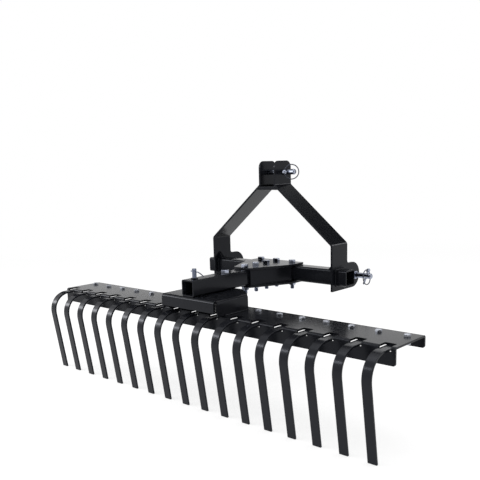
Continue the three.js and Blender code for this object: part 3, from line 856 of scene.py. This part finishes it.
# Hitch pins, turned on Z and then laid along X, each with a cross hole for its linch pin
pins = {"radius": 8, "chamfer": 2, "thread": 2, "ease": 0.3, "drill": 80,
        "collar": (12.5, 5, 0.6), "topHead": (12.5, 6, 0.5),  # radius, width and round
        "hex": (22, 8, 0.3), "nut": (24, 10, 5),  # flats and width, then the sink and the thread past the nut
        "lowerEnd": 297, "lowerLinch": 280, "lowerTilt": -34,
        "topEnd": 76, "topLinch": 50, "topTilt": 90, "topRing": 48}
linch = {"radius": 3, "tail": 27, "tip": ((0, 1.2), (1, 2.2), (3, 3)),  # the tip as height and radius
         "rise": 17, "headRadius": 5.5, "headHigh": 11, "headRound": 2, "ease": 0.5, "clearance": 0.4,
         "eye": 2.4, "drill": 40, "ring": 21, "wire": 1.5}


def crossHole(station, tilt):
    hole = roundBar("z", (0, 0), linch["radius"] + linch["clearance"], -pins["drill"] / 2, pins["drill"] / 2,
                    sides=24)
    return movedTo(hole, "crossHole", (station, 0, 0), rotation(tilt, "X"))


def layDown(piece, name):
    return movedTo(piece, name, turn=rotation(90, "Y"))


def makeLowerPin():
    inner = mast["leg"] - mast["wall"] - seatGap
    low = mast["leg"] + seatGap
    radius = pins["radius"]
    collar, collarWide, curve = pins["collar"]
    hexFlats, hexWide, hexSink = pins["hex"]
    nutFlats, nutWide, nutTail = pins["nut"]
    high = low + collarWide
    threaded = threadProfile(inner - nutWide - nutTail, inner - nutWide, radius, pins["thread"])
    shank = turnedPiece("shank", threaded
                        + [(low, radius), (low + near, collar - curve), (low + curve, collar),
                           (high - curve, collar), (high, collar - curve), (high + near, radius),
                           (pins["lowerEnd"] - pins["chamfer"], radius),
                           (pins["lowerEnd"], radius - pins["chamfer"])])
    nut = chamferedHex(nutFlats, inner - nutWide, inner, False)
    hexagon = chamferedHex(hexFlats, high - hexSink, high + hexWide, True)
    shank = layDown(shank, "pinShank")
    carve(shank, [crossHole(pins["lowerLinch"], pins["lowerTilt"])])
    easeEdges(shank, pins["ease"], segments=1, angle=40)
    return joinPieces("lowerPin", [shank, layDown(nut, "pinNut"), layDown(hexagon, "pinHex")])


def makeTopPin():
    head, headWide, curve = pins["topHead"]
    radius, chamfer = pins["radius"], pins["chamfer"]
    inner = -mast["ear"] - seatGap
    pin = turnedPiece("topPin", [(inner - headWide, head - chamfer), (inner - headWide + chamfer, head),
                                 (inner - curve, head), (inner, head - curve), (inner + near, radius),
                                 (pins["topEnd"] - chamfer, radius), (pins["topEnd"], radius - chamfer)])
    pin = layDown(pin, "topPinShank")
    carve(pin, [crossHole(pins["topLinch"], pins["topTilt"])])
    easeEdges(pin, pins["ease"], segments=1, angle=40)
    return pin


# Linch pin on Z, its head up, with an eye across the head for the ring
def makeLinchPin():
    low, high = linch["rise"] - linch["headHigh"] / 2, linch["rise"] + linch["headHigh"] / 2
    radius, curve = linch["headRadius"], linch["headRound"]
    head = turnedPiece("linchHead", [(low, radius - curve), (low + curve, radius),
                                     (high - curve, radius), (high, radius - curve)], sides=32)
    shank = turnedPiece("linchShank", [(height - linch["tail"], wide) for height, wide in linch["tip"]]
                        + [(linch["rise"], linch["radius"])], sides=28)
    carve(head, [shank], "UNION")
    carve(head, [roundBar("y", (0, linch["rise"]), linch["eye"], -linch["drill"] / 2, linch["drill"] / 2,
                          sides=24)])
    easeEdges(head, linch["ease"], angle=40)
    return head


# The ring hangs from the origin, which then goes to the middle of the eye
def makeRing():
    bpy.ops.mesh.primitive_torus_add(major_segments=96, minor_segments=16, major_radius=linch["ring"] * mm,
                                     minor_radius=linch["wire"] * mm, rotation=(0, math.pi / 2, 0),
                                     location=(0, 0, -linch["ring"] * mm))
    ring = bpy.context.object
    settle(ring)
    return ring


def makePins():
    linchShape = makeLinchPin()
    ringShape = makeRing()
    lowerShape = makeLowerPin()
    topShape = makeTopPin()
    closed = math.degrees(math.asin((linch["radius"] + linch["wire"] + seatGap) / (2 * linch["ring"])))
    lower = (lowerShape, "hitch_frame", pins["lowerLinch"], pins["lowerTilt"], closed)
    top = (topShape, "top_link_pin", pins["topLinch"], pins["topTilt"], pins["topRing"])
    topPlace = Matrix.Translation(Vector((0, hitch["crossbarY"], mast["pinHeight"])) * mm)
    sets = [("right", Matrix.Identity(4), "lower_hitch_pin_right", lower),
            ("left", rotation(180, "Z"), "lower_hitch_pin_left", lower),
            ("top", topPlace, "top_link_pin", top)]
    for side, base, node, (shape, body, station, tilt, ringAngle) in sets:
        pin = copyOf(shape, f"hitchPin_{side}", turn=base)
        smoothOver(pin)
        dress(pin, body, "zinc_plate", node)
        holder = base @ Matrix.Translation((station * mm, 0, 0)) @ rotation(tilt, "X")
        pinPiece = copyOf(linchShape, f"linchPiece_{side}", turn=holder)
        smoothOver(pinPiece)
        dress(pinPiece, f"linch_pin_{side}", "zinc_plate", f"linch_pin_{side}")
        hinge = holder @ Matrix.Translation((0, 0, linch["rise"] * mm))
        ringPiece = copyOf(ringShape, f"ringPiece_{side}", turn=hinge @ rotation(-ringAngle, "Y"))
        smoothOver(ringPiece)
        dress(ringPiece, f"linch_ring_{side}", "zinc_plate", f"linch_ring_{side}", finish=ringFinish)
    for shape in (linchShape, ringShape, lowerShape, topShape):
        bpy.data.objects.remove(shape)


makePins()
print("pins ready")


# Lock pin with the bent wire through its top
lock = {"radius": 6, "lift": 1, "chamfer": 2, "top": 28, "topChamfer": 1, "wire": 1.5, "wireDrop": 9,
        "stub": 13, "reach": 15, "hook": 1.5, "end": (27, 8, -11)}


def bentWire(name, points, radius):
    curve = roundCurve(name, radius, 4)
    curve.resolution_u = 10
    spline = curve.splines.new("BEZIER")
    spline.bezier_points.add(len(points) - 1)
    for bezier, point in zip(spline.bezier_points, points):
        bezier.co = Vector(point) * mm
        bezier.handle_left_type = bezier.handle_right_type = "AUTO"
    return meshOfCurve(name, curve)


def makeLockPin():
    low, high = tubeLow + lock["lift"], tubeTop + lock["top"]
    radius, chamfer, topChamfer = lock["radius"], lock["chamfer"], lock["topChamfer"]
    pin = turnedPiece("lockShank", [(low, radius - chamfer), (low + chamfer, radius),
                                    (high - topChamfer, radius), (high, radius - topChamfer)])
    pin = movedTo(pin, "lockPinPiece", (0, lockY, 0))
    wireZ = high - lock["wireDrop"]
    along, forward, down = lock["end"]
    wire = bentWire("lockWire", [(-lock["stub"], lockY, wireZ + lock["hook"]), (-radius, lockY, wireZ),
                                 (radius, lockY, wireZ), (lock["reach"], lockY, wireZ),
                                 (along, lockY + forward, wireZ + down)], lock["wire"])
    piece = joinPieces("lockPinPiece", [pin, wire])
    smoothOver(piece)
    dress(piece, "lock_pin", "zinc_plate", "lock_pin", finish=lockFinish)


makeLockPin()
print("lock pin ready")


# Weld beads: rippled runs laid in the corners where plates meet, thinner where a run starts and ends
weld = {"radius": 2.6, "step": 1.3, "ripple": 0.14, "rippleTurn": 0.62, "uneven": 0.06, "wander": 0.1,
        "endShare": 0.55, "endGrowth": 0.15,
        "wallStand": 0.8, "tubeStand": 0.6, "deckStand": 1, "webStand": 0.5,  # face to bead's middle
        "rearInset": 8, "sideInset": 2, "webInset": 3}


def weldBead(name, points, body, closed=False):
    stops = [Vector(p) for p in points]
    if closed:
        stops.append(stops[0])
    places = []
    for a, b in zip(stops, stops[1:]):
        count = max(1, round((b - a).length / weld["step"]))
        places += [a.lerp(b, i / count) for i in range(count)]
    if not closed:
        places.append(stops[-1])
    curve = roundCurve(name, weld["radius"], 2, caps=not closed)
    spline = curve.splines.new("POLY")
    spline.points.add(len(places) - 1)
    spline.use_cyclic_u = closed
    for i, (point, spot) in enumerate(zip(spline.points, places)):
        wander = Vector([random.uniform(-1, 1) for _ in range(3)]) * weld["wander"]
        point.co = (*((spot + wander) * mm), 1)
        fromEnd = min(i, len(places) - 1 - i)
        taper = 1 if closed else min(1, weld["endShare"] + weld["endGrowth"] * fromEnd)
        ripple = weld["ripple"] * math.sin(i * math.pi * weld["rippleTurn"])
        point.radius = taper * (1 + ripple + random.uniform(-weld["uneven"], weld["uneven"]))
    bead = meshOfCurve(name, curve)
    facesOut(bead)
    smoothOver(bead, 60)
    dress(bead, body, "black_powder_coat")


# The crossbar's outline at x, grown outwards, its round corners in a few steps
def tubeOutline(x, grow, cornerSteps=4):
    y, z = hitch["crossbarY"], hitch["tubeMiddle"]
    inset = hitch["tube"] / 2 - hitch["tubeRound"]
    reach = hitch["tubeRound"] + grow
    ring = []
    for cornerY, cornerZ, start in ((1, 1, 0), (-1, 1, 90), (-1, -1, 180), (1, -1, 270)):
        for step in range(cornerSteps + 1):
            angle = math.radians(start + step * 90 / cornerSteps)
            ring.append((x, y + cornerY * inset + reach * math.cos(angle),
                         z + cornerZ * inset + reach * math.sin(angle)))
    return ring


def makeWelds():
    stand, inset = weld["wallStand"], weld["webInset"]
    for side, label in ((1, "right"), (-1, "left")):
        for x, part in ((mast["leg"] + stand, "Outer"), (mast["leg"] - mast["wall"] - stand, "Inner")):
            weldBead(f"weldCrossbar{part}_{label}", tubeOutline(side * x, weld["tubeStand"]), "hitch_frame",
                     closed=True)
        edge, low = side * (saddle["half"] + stand), deckTop + weld["deckStand"]
        sideFront = hitch["pivotY"] - saddle["sideFront"] - weld["sideInset"]
        weldBead(f"weldSaddle_{label}", [(edge, beamRear + weld["rearInset"], low), (edge, sideFront, low)],
                 "rake_head")
        rear, front = (side * (gusset[end] + (webWide + stand)) for end in ("webRearX", "webFrontX"))
        for z, part in ((tubeTop - weld["webStand"], "Top"), (tubeLow + weld["webStand"], "Low")):
            weldBead(f"weldWeb{part}_{label}",
                     [(rear, webRearY + inset, z), (front, hitch["boomFront"] - inset, z)], "hitch_frame")


makeWelds()
print("welds ready")


# Floor, light and background, in m but for the drop in mm
studio = {"floor": "#f4f4f5", "floorSize": 60, "floorDrop": 0.2, "ambient": 0.6, "shadowShare": 0.35,
          "glow": 0.72, "near": 1.4, "far": 3.5, "lampAim": (0, -0.3, -0.05), "cardAim": (0, -0.3, 0),
          "card": "#050505"}


# 1 for the rays that see the background: the camera's, and those that pass glass or are mirrored
def seenRays(tree):
    path = addNode(tree, "ShaderNodeLightPath")
    seen = addNode(tree, "ShaderNodeMath", {"operation": "MAXIMUM"},
                   {0: path.outputs["Is Camera Ray"], 1: path.outputs["Is Transmission Ray"]})
    seen = addNode(tree, "ShaderNodeMath", {"operation": "MAXIMUM"},
                   {0: seen.outputs[0], 1: path.outputs["Is Glossy Ray"]})
    return seen.outputs[0]


# White where it is seen, with the rake's soft shadow kept on it near by
def makeFloor():
    bpy.ops.mesh.primitive_plane_add(size=studio["floorSize"],
                                     location=(0, 0, cadLow.z - studio["floorDrop"] * mm))
    floor = bpy.context.object
    floor.name = "studioFloor"
    material = bpy.data.materials.new("paleFloor")
    material.use_nodes = True
    tree = material.node_tree
    tree.nodes.clear()
    plain = addNode(tree, "ShaderNodeBsdfDiffuse", inputs={"Color": toLinear(studio["floor"])})
    faint = addNode(tree, "ShaderNodeBsdfDiffuse", inputs={"Color": [studio["shadowShare"]] * 3 + [1]})
    glow = addNode(tree, "ShaderNodeEmission", inputs={"Strength": studio["glow"]})
    shaded = addNode(tree, "ShaderNodeAddShader", inputs={0: faint.outputs[0], 1: glow.outputs[0]})
    white = addNode(tree, "ShaderNodeEmission", inputs={"Strength": 1})
    spot = addNode(tree, "ShaderNodeTexCoord").outputs["Object"]
    distance = addNode(tree, "ShaderNodeVectorMath", {"operation": "LENGTH"}, {0: spot})
    fade = addNode(tree, "ShaderNodeMapRange", inputs={
        "Value": distance.outputs["Value"], "From Min": studio["near"], "From Max": studio["far"]})
    shown = addNode(tree, "ShaderNodeMixShader", inputs={
        0: fade.outputs["Result"], 1: shaded.outputs[0], 2: white.outputs[0]})
    mix = addNode(tree, "ShaderNodeMixShader", inputs={
        0: seenRays(tree), 1: plain.outputs[0], 2: shown.outputs[0]})
    addNode(tree, "ShaderNodeOutputMaterial", inputs={"Surface": mix.outputs[0]})
    floor.data.materials.append(material)


# White where it is seen, and a plain soft light on everything else
def makeWorld():
    world = bpy.data.worlds.new("studio")
    bpy.context.scene.world = world
    world.use_nodes = True
    tree = world.node_tree
    tree.nodes.clear()
    ambient = addNode(tree, "ShaderNodeBackground", inputs={
        "Color": (1, 1, 1, 1), "Strength": studio["ambient"]})
    white = addNode(tree, "ShaderNodeBackground", inputs={"Color": (1, 1, 1, 1), "Strength": 1})
    mix = addNode(tree, "ShaderNodeMixShader", inputs={
        0: seenRays(tree), 1: ambient.outputs[0], 2: white.outputs[0]})
    addNode(tree, "ShaderNodeOutputWorld", inputs={"Surface": mix.outputs[0]})


# Soft boxes, with places and sizes in m and power in W
lamps = [
    {"name": "topBox", "place": (0.2, -0.4, 2.6), "size": 2.6, "power": 34},
    {"name": "leftBox", "place": (-2.6, -1.8, 1.3), "size": 1.6, "power": 16},
    {"name": "rightBox", "place": (2.8, 0.4, 1.5), "size": 1.4, "power": 6},
    {"name": "kneeStrip", "place": (1.16, 1.92, 1.12), "size": 0.6, "power": 6},  # seen in the mast's knees
    {"name": "bendStrip", "place": (-1.45, -1.70, 0.84), "size": 2.1, "power": 19,
     "width": 0.3, "along": (1.91, -0.54, 0.41)},  # seen in the tines' bends, all along the beam
]


def makeLamps():
    for lamp in lamps:
        bpy.ops.object.light_add(type="AREA", location=lamp["place"])
        light = bpy.context.object
        light.name = lamp["name"]
        light.data.size = lamp["size"]
        light.data.energy = lamp["power"]
        aim = (Vector(studio["lampAim"]) - Vector(lamp["place"])).normalized()
        light.rotation_euler = aim.to_track_quat("-Z", "Y").to_euler()
        if "along" in lamp:
            light.data.shape = "RECTANGLE"
            light.data.size_y = lamp["width"]
            along = Vector(lamp["along"])
            along = (along - aim * along.dot(aim)).normalized()
            light.rotation_euler = Matrix((along, along.cross(aim), -aim)).transposed().to_euler()


# Black felt cards that only reflections see, as in a product studio
cards = [
    {"name": "backCard", "place": (2.05, -2.55, 0.5), "size": 4.2},  # round metal turns dark along its middle
    {"name": "leftCard", "place": (-1.65, 0.75, 1.3), "size": 1.9},  # tines turn dark where they level out
    {"name": "frontCard", "place": (0.45, 1.9, 1.4), "size": 1.3},  # the mast's right slope turns dark
]


def makeCards():
    felt = bpy.data.materials.new("blackFelt")
    felt.use_nodes = True
    shader = felt.node_tree.nodes["Principled BSDF"]
    shader.inputs["Base Color"].default_value = toLinear(studio["card"])
    shader.inputs["Specular IOR Level"].default_value = 0
    for card in cards:
        aim = Vector(studio["cardAim"]) - Vector(card["place"])
        bpy.ops.mesh.primitive_plane_add(size=card["size"], location=card["place"],
                                         rotation=aim.to_track_quat("-Z", "Y").to_euler())
        piece = bpy.context.object
        piece.name = card["name"]
        piece.data.materials.append(felt)
        piece.visible_camera = False
        piece.visible_diffuse = False
        piece.visible_shadow = False


makeFloor()
makeWorld()
makeLamps()
makeCards()
bpy.context.scene.view_settings.view_transform = "Standard"
print("studio ready")
